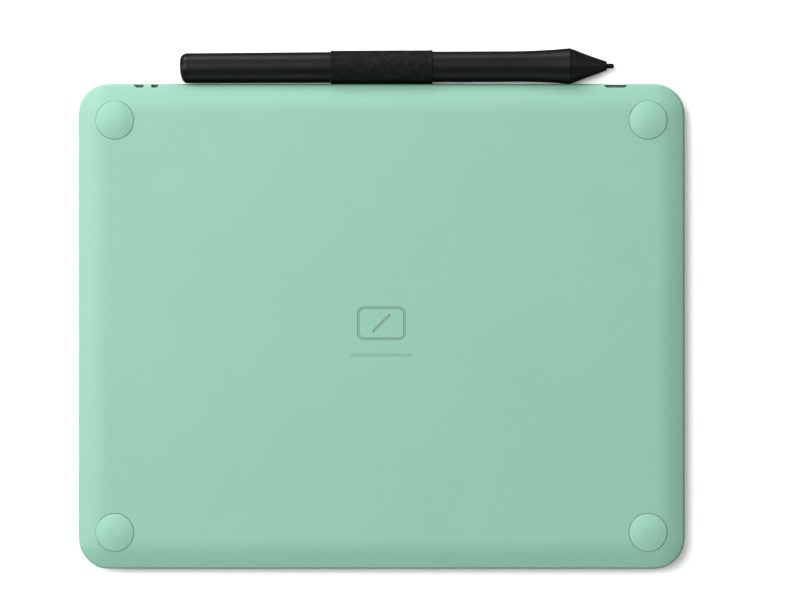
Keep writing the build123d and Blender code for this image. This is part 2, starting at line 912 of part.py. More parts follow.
with BuildPart() as battery_lead:
    # Two wires that rise from the battery's far side into their connector.
    plug_z = board_top_z + battery_connector_height / 2
    wire_start = battery_y + battery_depth / 2
    for x in (battery_connector_x - wire_pitch / 2, battery_connector_x + wire_pitch / 2):
        wire_side = Plane((x, tablet_y, 0), x_dir=(0, 1, 0), z_dir=(1, 0, 0))
        with BuildLine(wire_side) as route:
            FilletPolyline(
                (wire_start, wire_start_z),
                (wire_start + wire_stub, wire_start_z),
                (connector_near - wire_stub, plug_z),
                (connector_near, plug_z),
                radius=wire_bend,
            )
        with BuildSketch(Plane((x, tablet_y + wire_start, wire_start_z), z_dir=(0, 1, 0))):
            Circle(wire_radius)
        sweep(path=route.wires()[0])
battery_lead.part.label = "battery_lead"

# ================================================================ loop and its anchor
pen_heading = Vector(-cos(radians(pen_tilt)), sin(radians(pen_tilt)), 0)  # from tail to tip
pen_side = Vector(0, 0, 1).cross(pen_heading)
pen_tail = Vector(0, tablet_y + pen_y, pen_z) - pen_heading * pen_tail_to_loop
pen_plane = Plane(pen_tail, x_dir=pen_heading, z_dir=(0, 0, 1))
pen_axis = Axis(pen_tail, pen_heading)


def across(distance):
    """The plane square to the pen at a distance from its tail; its y is up."""
    return Plane(pen_tail + pen_heading * distance, x_dir=pen_side, z_dir=pen_heading)


def turned(points):
    """Turns a closed outline of (distance from the tail, radius) points about the pen's axis."""
    with BuildSketch(pen_plane) as profile:
        with BuildLine():
            Polyline(*points, close=True)
        make_face()
    revolve(profile.sketch, axis=pen_axis)


def pin_hole(radius, half_length, mode=Mode.ADD):
    """The side switch's pivot: a pin across the pen, or with Mode.SUBTRACT a hole for it."""
    middle = pen_tail + pen_heading * rocker_middle + Vector(0, 0, rocker_pin_height)
    with BuildSketch(Plane(middle, x_dir=pen_heading, z_dir=pen_side)) as profile:
        Circle(radius)
    extrude(profile.sketch, amount=half_length, both=True, mode=mode)


with BuildPart() as pen_loop:
    # A woven band round the barrel whose two ends run flat through the slit.
    inner = barrel_radius + loop_gap
    loop_start = pen_tail_to_loop - loop_width / 2
    with BuildSketch(across(loop_start)):
        Circle(inner + loop_skin)
    extrude(amount=loop_width)
    slab(
        -loop_width / 2,
        loop_width / 2,
        anchor_slot_near,
        pen_y - inner,
        loop_tail_z - loop_tail_thickness / 2,
        loop_tail_z + loop_tail_thickness / 2,
    )
    with BuildSketch(across(loop_start - 1)):
        Circle(inner)
    extrude(amount=loop_width + 2, mode=Mode.SUBTRACT)
pen_loop.part.label = "pen_loop"

with BuildPart() as loop_anchor:
    # A clip crimped on the band's ends, too tall to pass back out through the slit.
    half = anchor_width / 2
    slab(-half, half, anchor_near, anchor_far, anchor_bottom_z, anchor_top_z)
    slab(
        -loop_width / 2,
        loop_width / 2,
        anchor_slot_near,
        anchor_far + 1,
        loop_tail_z - loop_tail_thickness / 2,
        loop_tail_z + loop_tail_thickness / 2,
        Mode.SUBTRACT,
    )
loop_anchor.part.label = "loop_anchor"

# ================================================================ pen casing
with BuildPart() as pen_end_cap:
    with BuildSketch(pen_plane):
        with BuildLine():
            tail_edge = JernArc(
                start=(0, tail_radius - tail_round),
                tangent=(0, 1),
                radius=tail_round,
                arc_size=-90,
            )
            Polyline(
                tail_edge @ 1,
                (cap_length, tail_radius),
                (cap_length, cap_plug_radius),
                (cap_plug_end, cap_plug_radius),
                (cap_plug_end, cap_hollow_radius),
                (cap_hollow_start, cap_hollow_radius),
                (cap_hollow_start, 0),
                (0, 0),
                tail_edge @ 0,
            )
        make_face()
    revolve(axis=pen_axis)
    # The hole inside the cap that grips a worn nib to pull it out.
    with BuildSketch(across(puller_start)):
        Circle(nib_radius + nib_grip)
    extrude(amount=puller_depth, mode=Mode.SUBTRACT)
pen_end_cap.part.label = "pen_end_cap"

with BuildPart() as pen_rear_barrel:
    turned(
        [
            (cap_length + seam, tail_radius),
            (taper_end, barrel_radius),
            (barrel_split, barrel_radius),
            (barrel_split, bore_radius),
            (cap_length + seam, bore_radius),
        ]
    )
pen_rear_barrel.part.label = "pen_rear_barrel"

with BuildPart() as pen_front_barrel:
    with BuildSketch(pen_plane):
        with BuildLine():
            flare = Spline(
                (flare_start, barrel_radius),
                (flare_middle, flare_middle_radius),
                (flare_end, flare_radius),
                tangents=[(1, 0), (1, flare_slope)],
            )
            shoulder = TangentArc(flare @ 1, (barrel_end, barrel_end_radius), tangent=flare % 1)
            Polyline(
                shoulder @ 1,
                (barrel_end, nose_socket_radius),
                (nose_socket_start, nose_socket_radius),
                (nose_socket_start, bore_radius),
                (spigot_bore_end, bore_radius),
                (spigot_bore_end, spigot_bore),
                (spigot_start, spigot_bore),
                (spigot_start, spigot_radius),
                (barrel_split + seam, spigot_radius),
                (barrel_split + seam, barrel_radius),
                flare @ 0,
            )
        make_face()
    revolve(axis=pen_axis)
    with BuildSketch(pen_plane.offset(rocker_slot_bottom)):
        with Locations((rocker_middle, 0)):
            SlotOverall(rocker_slot_length, rocker_slot_width)
    extrude(amount=2 * barrel_radius, mode=Mode.SUBTRACT)
    pin_hole(rocker_pin_radius, 2 * barrel_radius, Mode.SUBTRACT)
pen_front_barrel.part.label = "pen_front_barrel"

with BuildPart() as pen_nose_cone:
    with BuildSketch(pen_plane):
        with BuildLine():
            cone = Spline(
                (collar_end + groove_width, cone_start_radius),
                cone_upper,
                cone_lower,
                (nose_end - nose_tip_round, nose_tip_radius),
            )
            tip_round = TangentArc(
                cone @ 1, (nose_end, nose_tip_radius - 2 * nose_tip_round), tangent=cone % 1
            )
            Polyline(
                tip_round @ 1,
                (nose_end, nose_hole_radius),
                (nose_hole_start, nose_hole_radius),
                (nose_bore_end, nose_bore_radius),
                (nose_spigot_start, nose_bore_radius),
                (nose_spigot_start, nose_spigot_radius),
                (nose_start, nose_spigot_radius),
                (nose_start, nose_start_radius),
                (collar_end, collar_end_radius),
                (collar_end + groove_width / 2, groove_radius),
                cone @ 0,
            )
        make_face()
    revolve(axis=pen_axis)
pen_nose_cone.part.label = "pen_nose_cone"

with BuildPart() as pen_nib:
    with BuildSketch(pen_plane):
        with BuildLine():
            tip = JernArc(
                start=(pen_length - nib_radius, nib_radius),
                tangent=(1, 0),
                radius=nib_radius,
                arc_size=-90,
            )
            Polyline(tip @ 1, (nib_start, 0), (nib_start, nib_radius), tip @ 0)
        make_face()
    revolve(axis=pen_axis)
pen_nib.part.label = "pen_nib"

# ================================================================ inside the pen
with BuildPart() as pen_ferrite:
    turned(
        [
            (ferrite_start, ferrite_bore),
            (ferrite_end, ferrite_bore),
            (ferrite_end, ferrite_radius),
            (ferrite_start, ferrite_radius),
        ]
    )
pen_ferrite.part.label = "pen_ferrite"

with BuildPart() as pen_coil:
    turned(
        [
            (coil_start, ferrite_radius),
            (coil_end, ferrite_radius),
            (coil_end, coil_radius),
            (coil_start, coil_radius),
        ]
    )
pen_coil.part.label = "pen_coil"

with BuildPart() as pen_pressure_sensor:
    # A puck behind the nib, with a collar that holds the ferrite's end.
    turned(
        [
            (puck_start, 0),
            (puck_start, carrier_radius),
            (puck_end, carrier_radius),
            (puck_end, ferrite_radius),
            (ferrite_start, ferrite_radius),
            (ferrite_start, puck_hole_radius),
            (puck_face, puck_hole_radius),
            (puck_face, 0),
        ]
    )
pen_pressure_sensor.part.label = "pen_pressure_sensor"

with BuildPart() as pen_chassis:
    with BuildSketch(across(carrier_start)):
        Circle(carrier_radius)
        with Locations((0, carrier_radius - pen_board_thickness)):
            Rectangle(4 * carrier_radius, 2 * carrier_radius, mode=Mode.SUBTRACT)
    extrude(amount=carrier_end - carrier_start)
pen_chassis.part.label = "pen_chassis"

with BuildPart() as pen_board:
    with BuildSketch(pen_plane.offset(-pen_board_thickness)):
        with Locations(((pen_board_start + pen_board_end) / 2, 0)):
            Rectangle(pen_board_end - pen_board_start, pen_board_width)
    extrude(amount=pen_board_thickness)
pen_board.part.label = "pen_board"

with BuildPart() as pen_chip:
    with BuildSketch(pen_plane):
        for distance, length, width in pen_chip_sizes:
            with Locations((distance, 0)):
                Rectangle(length, width)
    extrude(amount=pen_chip_height)
pen_chip.part.label = "pen_chip"

with BuildPart() as pen_switch_domes:
    with BuildSketch(pen_plane):
        with Locations((rocker_middle, 0)):
            with GridLocations(2 * rocker_nub_offset, 0, 2, 1):
                Circle(dome_radius)
    extrude(amount=dome_height)
pen_switch_domes.part.label = "pen_switch_domes"

with BuildPart() as pen_side_switch:
    # A two-way rocker: a rounded bar that follows the barrel, on an ear that holds the pivot.
    with BuildSketch(pen_plane.offset(rocker_underside)):
        with Locations((rocker_middle, 0)):
            SlotOverall(rocker_length, rocker_width)
    extrude(amount=2 * barrel_radius)
    with BuildSketch(across(rocker_middle - rocker_length)):
        Circle(barrel_radius + rocker_proud)
    extrude(amount=2 * rocker_length, mode=Mode.INTERSECT)
    top_edges = pen_side_switch.faces().sort_by(Axis.Z)[-1].edges()
    fillet(top_edges, radius=rocker_edge)
    # The waist between its two ends.
    waist = pen_tail + pen_heading * rocker_middle + Vector(0, 0, waist_height)
    with BuildSketch(Plane(waist, x_dir=pen_heading, z_dir=pen_side)):
        Circle(waist_radius)
    extrude(amount=rocker_width, both=True, mode=Mode.SUBTRACT)
    # The ear round the pin and the nubs that press the domes.
    with BuildSketch(pen_plane.offset(ear_bottom)):
        with Locations((rocker_middle, 0)):
            Rectangle(ear_length, ear_width)
    extrude(amount=rocker_underside + overlap - ear_bottom)
    with BuildSketch(pen_plane.offset(rocker_nub_bottom)):
        with Locations((rocker_middle, 0)):
            with GridLocations(2 * rocker_nub_offset, 0, 2, 1):
                Circle(rocker_nub_radius)
    extrude(amount=rocker_underside + overlap - rocker_nub_bottom)
    pin_hole(rocker_pin_radius + rocker_pin_clearance, 2 * barrel_radius, Mode.SUBTRACT)
pen_side_switch.part.label = "pen_side_switch"

with BuildPart() as pen_switch_pin:
    pin_hole(rocker_pin_radius, rocker_pin_half_length)
pen_switch_pin.part.label = "pen_switch_pin"

with BuildPart() as pen_nib_holder:
    with BuildSketch(across(nib_holder_start)):
        Circle(nib_holder_radius)
    extrude(amount=nib_holder_end - nib_holder_start)
    with BuildSketch(across(nib_holder_start)):
        with PolarLocations(spare_nib_circle, spare_nib_count, start_angle=90):
            Circle(spare_nib_hole)
    extrude(amount=spare_nib_start + spare_nib_length - nib_holder_start, mode=Mode.SUBTRACT)
pen_nib_holder.part.label = "pen_nib_holder"

with BuildPart() as pen_spare_nibs:
    with BuildSketch(across(spare_nib_start)):
        with PolarLocations(spare_nib_circle, spare_nib_count, start_angle=90):
            Circle(nib_radius)
    extrude(amount=spare_nib_length)
    fillet(pen_spare_nibs.faces().group_by(Axis.X)[-1].edges(), radius=spare_nib_round)
pen_spare_nibs.part.label = "pen_spare_nibs"

# ================================================================ output
tablet_pieces = [back_cover, front_cover, surface_sheet, *feet, *keys, power_button, status_light_pipe]
inner_pieces = [
    main_board,
    board_chips,
    wireless_module,
    key_switches,
    status_led,
    usb_port,
    usb_strip,
    ribbon_connector,
    battery_connector,
    board_screws,
    cover_screws,
    sensor_board,
    shield_sheet,
    sensor_cable,
    battery,
    battery_lead,
]
pen_pieces = [
    pen_loop,
    loop_anchor,
    pen_end_cap,
    pen_rear_barrel,
    pen_front_barrel,
    pen_nose_cone,
    pen_nib,
    pen_ferrite,
    pen_coil,
    pen_pressure_sensor,
    pen_chassis,
    pen_board,
    pen_chip,
    pen_switch_domes,
    pen_side_switch,
    pen_switch_pin,
    pen_nib_holder,
    pen_spare_nibs,
]
os.makedirs("parts", exist_ok=True)
for piece in tablet_pieces + inner_pieces + pen_pieces:
    export_step(piece.part, f"parts/{piece.part.label}.step")
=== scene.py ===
"""The looks of the pen drawing tablet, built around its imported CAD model. Metres, +Z up."""

import json
import math

import bmesh
import bpy
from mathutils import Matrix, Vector, noise


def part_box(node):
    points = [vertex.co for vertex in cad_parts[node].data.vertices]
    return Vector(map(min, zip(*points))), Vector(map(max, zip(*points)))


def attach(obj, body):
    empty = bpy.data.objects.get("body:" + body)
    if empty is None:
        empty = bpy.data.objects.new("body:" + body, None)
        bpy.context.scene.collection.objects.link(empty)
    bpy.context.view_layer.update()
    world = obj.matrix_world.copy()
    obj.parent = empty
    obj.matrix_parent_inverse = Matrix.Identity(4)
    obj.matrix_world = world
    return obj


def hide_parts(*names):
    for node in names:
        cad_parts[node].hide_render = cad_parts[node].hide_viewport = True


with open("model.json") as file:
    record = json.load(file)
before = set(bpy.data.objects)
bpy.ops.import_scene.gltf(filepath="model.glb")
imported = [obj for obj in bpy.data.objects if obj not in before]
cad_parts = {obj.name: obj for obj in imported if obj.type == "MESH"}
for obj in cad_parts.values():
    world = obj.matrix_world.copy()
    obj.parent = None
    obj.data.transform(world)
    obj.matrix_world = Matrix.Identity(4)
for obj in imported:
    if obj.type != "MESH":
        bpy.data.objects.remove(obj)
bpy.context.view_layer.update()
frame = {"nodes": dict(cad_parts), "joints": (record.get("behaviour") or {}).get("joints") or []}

MM = 0.001
nodes = frame["nodes"]
joints = {joint["name"]: joint for joint in frame["joints"]}
scene = bpy.context.scene

# ---------------------------------------------------------------- places taken from the frame
shell_low, shell_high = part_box("back_cover")
tablet_middle = (shell_low + shell_high) / 2
rim_z = 3.8 * MM  # where the casing is widest, seen from below
face_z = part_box("front_cover")[1].z

pen_heading = Vector(joints["pen_slide"]["axis"]).normalized()  # from tail to tip
tail_low, tail_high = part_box("pen_end_cap")
tail_middle = (tail_low + tail_high) / 2
pen_y = tail_middle.y - tail_middle.x * pen_heading.y / pen_heading.x  # where the axis crosses x = 0
pen_z = tail_middle.z


# ---------------------------------------------------------------- camera
PICTURE_WIDTH = 264.1 * MM  # what the picture spans at the level of the rim
PICTURE_OFFSET = (-6.08, 8.68)  # millimetres, from the tablet's middle to the picture's
LENS = 135.0
SENSOR = 36.0


def add_camera():
    """A long lens that looks straight up at the underside, with the pen at the picture's top."""
    data = bpy.data.cameras.new("camera")
    data.lens = LENS
    data.sensor_width = SENSOR
    data.clip_start = 0.01
    camera = bpy.data.objects.new("camera", data)
    scene.collection.objects.link(camera)
    aim = tablet_middle + Vector((*PICTURE_OFFSET, 0)) * MM
    camera.location = (aim.x, aim.y, rim_z - PICTURE_WIDTH * LENS / SENSOR)
    camera.rotation_euler = (0, math.pi, 0)
    scene.camera = camera


# ---------------------------------------------------------------- finishes
BEVEL_SAMPLES = 4
CREVICE_SAMPLES = 8
PAINTED_SHADE_STRENGTH = 0.75  # how much of the painted shade's dark colour shows where walls close in
EDGE_MATCH = (0.88, 0.995)  # cosine between the rounded and the true normal: at an edge, on the flat


class Finish:
    """A Principled material with the patterns that its colour, roughness and relief are made of.

    Patterns are laid out in the row frame, in millimetres.
    """

    def __init__(self, name, **values):
        self.material = bpy.data.materials.new(name)
        self.material.use_nodes = True
        self.tree = self.material.node_tree
        self.shader = self.tree.nodes["Principled BSDF"]
        self.set(**values)
        place = self.node("TexCoord").outputs["Object"]
        scaled = self.node("VectorMath", {0: place}, operation="SCALE")
        scaled.inputs["Scale"].default_value = 1 / MM
        self.place = scaled.outputs[0]
        self.height = None

    def set(self, **values):
        """Sets the shader's own sockets; an underscore in a name stands for a space."""
        for name, value in values.items():
            self.shader.inputs[name.replace("_", " ")].default_value = value

    def node(self, kind, inputs=None, **settings):
        """Adds a node, with its settings and with its inputs set or linked."""
        made = self.tree.nodes.new("ShaderNode" + kind)
        for name, value in settings.items():
            setattr(made, name, value)
        for socket, value in (inputs or {}).items():
            self.feed(made.inputs[socket], value)
        return made

    def feed(self, socket, value):
        """Links a pattern to a socket, or sets the socket to a number or colour."""
        if isinstance(value, bpy.types.NodeSocket):
            self.tree.links.new(value, socket)
        else:
            socket.default_value = value

    def maths(self, operation, first, second=0.0, third=0.0):
        inputs = {0: first, 1: second, 2: third}
        return self.node("Math", inputs, operation=operation).outputs[0]

    def noise(self, size, detail=2.0, stretch=(1, 1, 1), warp=0.0):
        """Clouds from 0 to 1, about size millimetres across, times stretch along each axis."""
        place = self.node("VectorMath", {0: self.place, 1: stretch}, operation="DIVIDE").outputs[0]
        inputs = {"Vector": place, "Scale": 1 / size, "Detail": detail, "Distortion": warp}
        return self.node("TexNoise", inputs).outputs[0]

    def cells(self, size):
        """Distance from the middles of rounded cells about size millimetres across."""
        inputs = {"Vector": self.place, "Scale": 1 / size}
        return self.node("TexVoronoi", inputs, feature="F1").outputs["Distance"]

    def remap(self, value, low, high, start, end):
        """Turns low..high into start..end and holds it there beyond."""
        inputs = {"Value": value, "From Min": low, "From Max": high, "To Min": start, "To Max": end}
        return self.node("MapRange", inputs).outputs["Result"]

    def colour(self, value, low, high, dark, light):
        """A colour between two, as a pattern goes from low to high."""
        share = self.remap(value, low, high, 0.0, 1.0)
        return self.blend(share, dark, light)

    def blend(self, share, first, second):
        """The first colour where share is 0, the second where it is 1."""
        mix = self.node("Mix", data_type="RGBA")
        self.feed(mix.inputs["Factor"], share)
        for socket, value in (("A", first), ("B", second)):
            colour_socket = next(s for s in mix.inputs if s.name == socket and s.type == "RGBA")
            is_plain = not isinstance(value, bpy.types.NodeSocket)
            self.feed(colour_socket, (*value, 1.0) if is_plain else value)
        return next(s for s in mix.outputs if s.type == "RGBA")

    def edges(self, radius):
        """1 along the outer edges, 0 where the surface is flat within radius millimetres."""
        rounded = self.node("Bevel", {"Radius": radius * MM}, samples=BEVEL_SAMPLES).outputs[0]
        facing = self.node("NewGeometry").outputs["Normal"]
        match = self.node("VectorMath", {0: rounded, 1: facing}, operation="DOT_PRODUCT")
        return self.remap(match.outputs["Value"], *EDGE_MATCH, 1.0, 0.0)

    def painted_crevice_shade(self, colour, distance, dark, closed=0.35, fully_open=0.8, neighbours=False):
        """Paints shade into a colour: darkens it where walls close in within distance millimetres.

        Only the piece's own walls count, or with neighbours those of every piece.
        """
        inputs = {"Color": (1, 1, 1, 1), "Distance": distance * MM}
        settings = {"samples": CREVICE_SAMPLES, "only_local": not neighbours}
        open_share = self.node("AmbientOcclusion", inputs, **settings).outputs["AO"]
        return self.blend(self.remap(open_share, closed, fully_open, PAINTED_SHADE_STRENGTH, 0.0), colour, dark)

    def soften(self, radius):
        """Rounds the sharp edges in the shading, radius millimetres wide."""
        self.height = self.node("Bevel", {"Radius": radius * MM}, samples=BEVEL_SAMPLES).outputs[0]

    def relief(self, pattern, depth):
        """Adds a pattern from 0 to 1 to the surface's relief, depth millimetres deep."""
        inputs = {"Height": pattern, "Distance": depth * MM, "Strength": 1.0}
        if self.height:
            inputs["Normal"] = self.height
        self.height = self.node("Bump", inputs).outputs["Normal"]
        self.feed(self.shader.inputs["Normal"], self.height)

    def paint(self, colour=None, roughness=None):
        """Feeds a pattern to the surface's colour, its roughness or both."""
        if colour is not None:
            self.feed(self.shader.inputs["Base Color"], colour)
        if roughness is not None:
            self.feed(self.shader.inputs["Roughness"], roughness)


def shade(colour, factor):
    """The same hue, darker below a factor of 1 and paler above it."""
    return tuple(channel * factor for channel in colour)


RUBBED_TO = 0.75  # the pale grey that worn edges tend to
WEAR = 0.12  # and how near they have come to it


def moulded_plastic(name, colour, grain, grain_depth, roughness, mottle=0.03):
    """Plastic with a spark-eroded grain, faint clouds in its colour and slightly rubbed edges, and with
    painted shade in its hollows and where other pieces come near.
    """
    finish = Finish(name)
    finish.soften(0.12)
    clouds = finish.noise(28.0, detail=3.0, warp=0.6)
    speckle = finish.noise(1.6, detail=2.0)
    base = finish.colour(clouds, 0.3, 0.7, shade(colour, 1 - mottle), shade(colour, 1 + mottle))
    base = finish.blend(finish.remap(speckle, 0.35, 0.75, 0.0, 0.12), base, shade(colour, 0.9))
    edges = finish.edges(0.5)
    rubbed = tuple(channel + WEAR * (RUBBED_TO - channel) for channel in colour)
    base = finish.blend(finish.maths("MULTIPLY", edges, 0.5), base, rubbed)
    # painted shade: darker where the piece's own walls close in within 3 mm, in its notches and hollows
    base = finish.painted_crevice_shade(base, 3.0, shade(colour, 0.15))
    # painted shadow: darker where other pieces come within 8 mm, such as along the casing's edge under
    # the pen
    base = finish.painted_crevice_shade(base, 8.0, shade(colour, 0.02), 0.6, 0.97, neighbours=True)
    finish.paint(colour=base)
    patches = finish.noise(9.0, detail=4.0)
    uneven = finish.remap(patches, 0.3, 0.7, roughness - 0.04, roughness + 0.05)
    polished = finish.maths("MULTIPLY", edges, -0.06)
    finish.paint(roughness=finish.maths("ADD", uneven, polished))
    finish.relief(finish.noise(grain, detail=3.0), grain_depth)
    finish.relief(finish.noise(14.0, detail=1.0), 0.02)
    return finish


def pen_plastic(name, colour, roughness):
    """Soft-touch plastic for the pen, polished where the hand wears it and glossy at the tail, with
    painted light on its nose cone and painted shade in its recesses.
    """
    finish = Finish(name, Specular_IOR_Level=0.2)
    finish.soften(0.12)
    along = finish.node("SeparateXYZ", {0: finish.place}).outputs[0]
    tail = finish.remap(along, TAIL_GLOSS_X - 0.4, TAIL_GLOSS_X + 0.4, 0.0, 1.0)
    clouds = finish.noise(12.0, detail=4.0, warp=0.6)
    handled = finish.remap(finish.noise(5.0, detail=5.0, warp=0.8), 0.45, 0.7, 0.0, 1.0)
    speckle = finish.remap(finish.noise(0.5, detail=3.0), 0.6, 0.75, 0.0, 0.25)
    base = finish.colour(clouds, 0.3, 0.7, shade(colour, 0.85), shade(colour, 1.15))
    base = finish.blend(speckle, base, shade(colour, 2.0))
    # painted light: the nose cone is a paler copy of the pen's black, as if a lamp lit it
    cone_painted_light = finish.remap(along, NOSE_X - 0.2, NOSE_X + 0.2, 1.0, 0.0)
    base = finish.blend(cone_painted_light, base, shade(colour, 2.6))
    # painted shade: darker where the pen's own walls close in within 1.5 mm
    finish.paint(colour=finish.painted_crevice_shade(base, 1.5, shade(colour, 0.2)))
    matte = finish.maths("MULTIPLY_ADD", handled, -0.07, roughness + 0.03)
    finish.paint(roughness=finish.maths("MULTIPLY_ADD", tail, -0.1, matte))
    finish.relief(finish.noise(0.3, detail=3.0), 0.003)
    finish.relief(finish.noise(9.0, detail=1.0), 0.012)
    return finish


def soft_rubber(name, colour, roughness):
    """Matte rubber with a faint bloom of dust and a fine even tooth."""
    finish = Finish(name, Sheen_Weight=0.12, Sheen_Roughness=0.45, Specular_IOR_Level=0.35)
    finish.soften(0.1)
    clouds = finish.noise(5.0, detail=4.0, warp=0.5)
    dust = finish.remap(finish.noise(0.8, detail=4.0), 0.58, 0.72, 0.0, 0.08)
    base = finish.colour(clouds, 0.3, 0.7, shade(colour, 0.97), shade(colour, 1.03))
    finish.paint(colour=finish.blend(dust, base, tuple(0.5 * c + 0.4 for c in colour)))
    finish.paint(roughness=finish.remap(clouds, 0.3, 0.7, roughness - 0.05, roughness + 0.06))
    finish.relief(finish.noise(0.35, detail=2.0), 0.006)
    return finish


def woven_fabric(name, colour, roughness):
    """A tight plain weave of round yarns, laid out on the piece's "weave" map in millimetres."""
    finish = Finish(name, Specular_IOR_Level=0.14)
    place = finish.node("UVMap", uv_map="weave").outputs[0]
    parts = finish.node("SeparateXYZ", {0: place}).outputs
    across = finish.maths("SINE", finish.maths("MULTIPLY", parts[0], math.pi / YARN_PITCH[0]))
    along = finish.maths("SINE", finish.maths("MULTIPLY", parts[1], math.pi / YARN_PITCH[1]))
    upper = finish.maths("GREATER_THAN", finish.maths("MULTIPLY", across, along), 0.0)
    warp_yarn = finish.maths("SQRT", finish.maths("ABSOLUTE", across))
    weft_yarn = finish.maths("SQRT", finish.maths("ABSOLUTE", along))
    warp_bow = finish.maths("MULTIPLY_ADD", finish.maths("ABSOLUTE", along), 0.6, 0.4)
    weft_bow = finish.maths("MULTIPLY_ADD", finish.maths("ABSOLUTE", across), 0.6, 0.4)
    warp = finish.maths("MULTIPLY", warp_yarn, warp_bow)
    weft = finish.maths("MULTIPLY", weft_yarn, weft_bow)
    inputs = {0: upper, 2: weft, 3: warp}
    weave = finish.node("Mix", inputs, data_type="FLOAT").outputs[0]
    fuzz = finish.noise(0.12, detail=3.0)
    lint = finish.remap(finish.noise(1.8, detail=5.0, warp=0.8), 0.45, 0.68, 0.0, 0.6)
    # painted shade: the colour darkens where the weave dips between the yarns
    base = finish.colour(weave, 0.2, 0.95, shade(colour, 0.35), shade(colour, 1.25))
    base = finish.blend(finish.remap(fuzz, 0.45, 0.75, 0.0, 0.3), base, shade(colour, 2.2))
    finish.paint(colour=finish.blend(lint, base, shade(colour, 4.5)))
    finish.paint(roughness=finish.remap(weave, 0.0, 1.0, min(roughness + 0.08, 1.0), roughness))
    finish.relief(weave, 0.07)
    finish.relief(fuzz, 0.02)
    return finish


def drawing_film(name, colour, roughness):
    """A paper-like film with a fine tooth, faint strokes of wear and printed corner marks."""
    finish = Finish(name, Specular_IOR_Level=0.4)
    parts = finish.node("SeparateXYZ", {0: finish.place}).outputs
    from_x = finish.maths("ABSOLUTE", parts[0])
    from_y = finish.maths("ABSOLUTE", finish.maths("SUBTRACT", parts[1], ACTIVE_Y))
    half_x, half_y = ACTIVE_AREA[0] / 2, ACTIVE_AREA[1] / 2

    def printed(first, edge, second, limit):
        """1 on the marks along one pair of edges, near the ends of those edges."""
        on_line = finish.maths("COMPARE", first, edge, MARK_LINE / 2)
        near_corner = finish.maths("COMPARE", second, limit - MARK_LENGTH / 2, MARK_LENGTH / 2)
        return finish.maths("MULTIPLY", on_line, near_corner)

    marks = finish.maths(
        "MAXIMUM",
        printed(from_x, half_x, from_y, half_y),
        printed(from_y, half_y, from_x, half_x),
    )
    clouds = finish.noise(30.0, detail=3.0, warp=0.5)
    tooth = finish.cells(0.28)
    strokes = finish.noise(6.0, detail=6.0, stretch=(6, 0.4, 1), warp=0.7)
    base = finish.colour(clouds, 0.3, 0.7, shade(colour, 0.93), shade(colour, 1.07))
    base = finish.blend(finish.remap(tooth, 0.1, 0.7, 0.0, 0.35), base, shade(colour, 0.6))
    finish.paint(colour=finish.blend(marks, base, MARK_GREY))
    polish = finish.remap(strokes, 0.55, 0.75, 0.0, -0.05)
    rough_tooth = finish.remap(tooth, 0.0, 1.0, roughness, 0.8)
    finish.paint(roughness=finish.maths("ADD", polish, rough_tooth))
    finish.soften(0.1)
    finish.relief(tooth, 0.012)
    return finish


def plain_finish(name, colour, roughness, grain=0.4, depth=0.005, stretch=(1, 1, 1), **values):
    """A finish for small inner pieces: clouded colour, uneven roughness and a fine relief."""
    finish = Finish(name, **values)
    finish.soften(0.08)
    clouds = finish.noise(3.0, detail=3.0, stretch=stretch)
    finish.paint(colour=finish.colour(clouds, 0.3, 0.7, shade(colour, 0.88), shade(colour, 1.1)))
    finish.paint(roughness=finish.remap(clouds, 0.3, 0.7, roughness - 0.05, roughness + 0.08))
    finish.relief(finish.noise(grain, detail=2.0, stretch=stretch), depth)
    return finish


SHELL = (0.276, 0.545, 0.412)
FOOT = (0.300, 0.575, 0.440)
BLACK = (0.0065, 0.0068, 0.0075)
PEN_BLACK = (0.0034, 0.0034, 0.0036)
TAIL_GLOSS_X = 64.05  # millimetres; the end cap, beyond its seam with the barrel, is glossier
NOSE_X = -62.7  # and the cone before this is painted a little paler: painted light on its surface
YARN_PITCH = (0.46, 0.52)  # millimetres across and along the band
ACTIVE_AREA = (152.0, 95.0)  # millimetres, between the printed corner marks
ACTIVE_Y = -20.0  # millimetres, the middle of that area
MARK_LINE = 0.25
MARK_LENGTH = 4.0
MARK_GREY = (0.2, 0.2, 0.2)


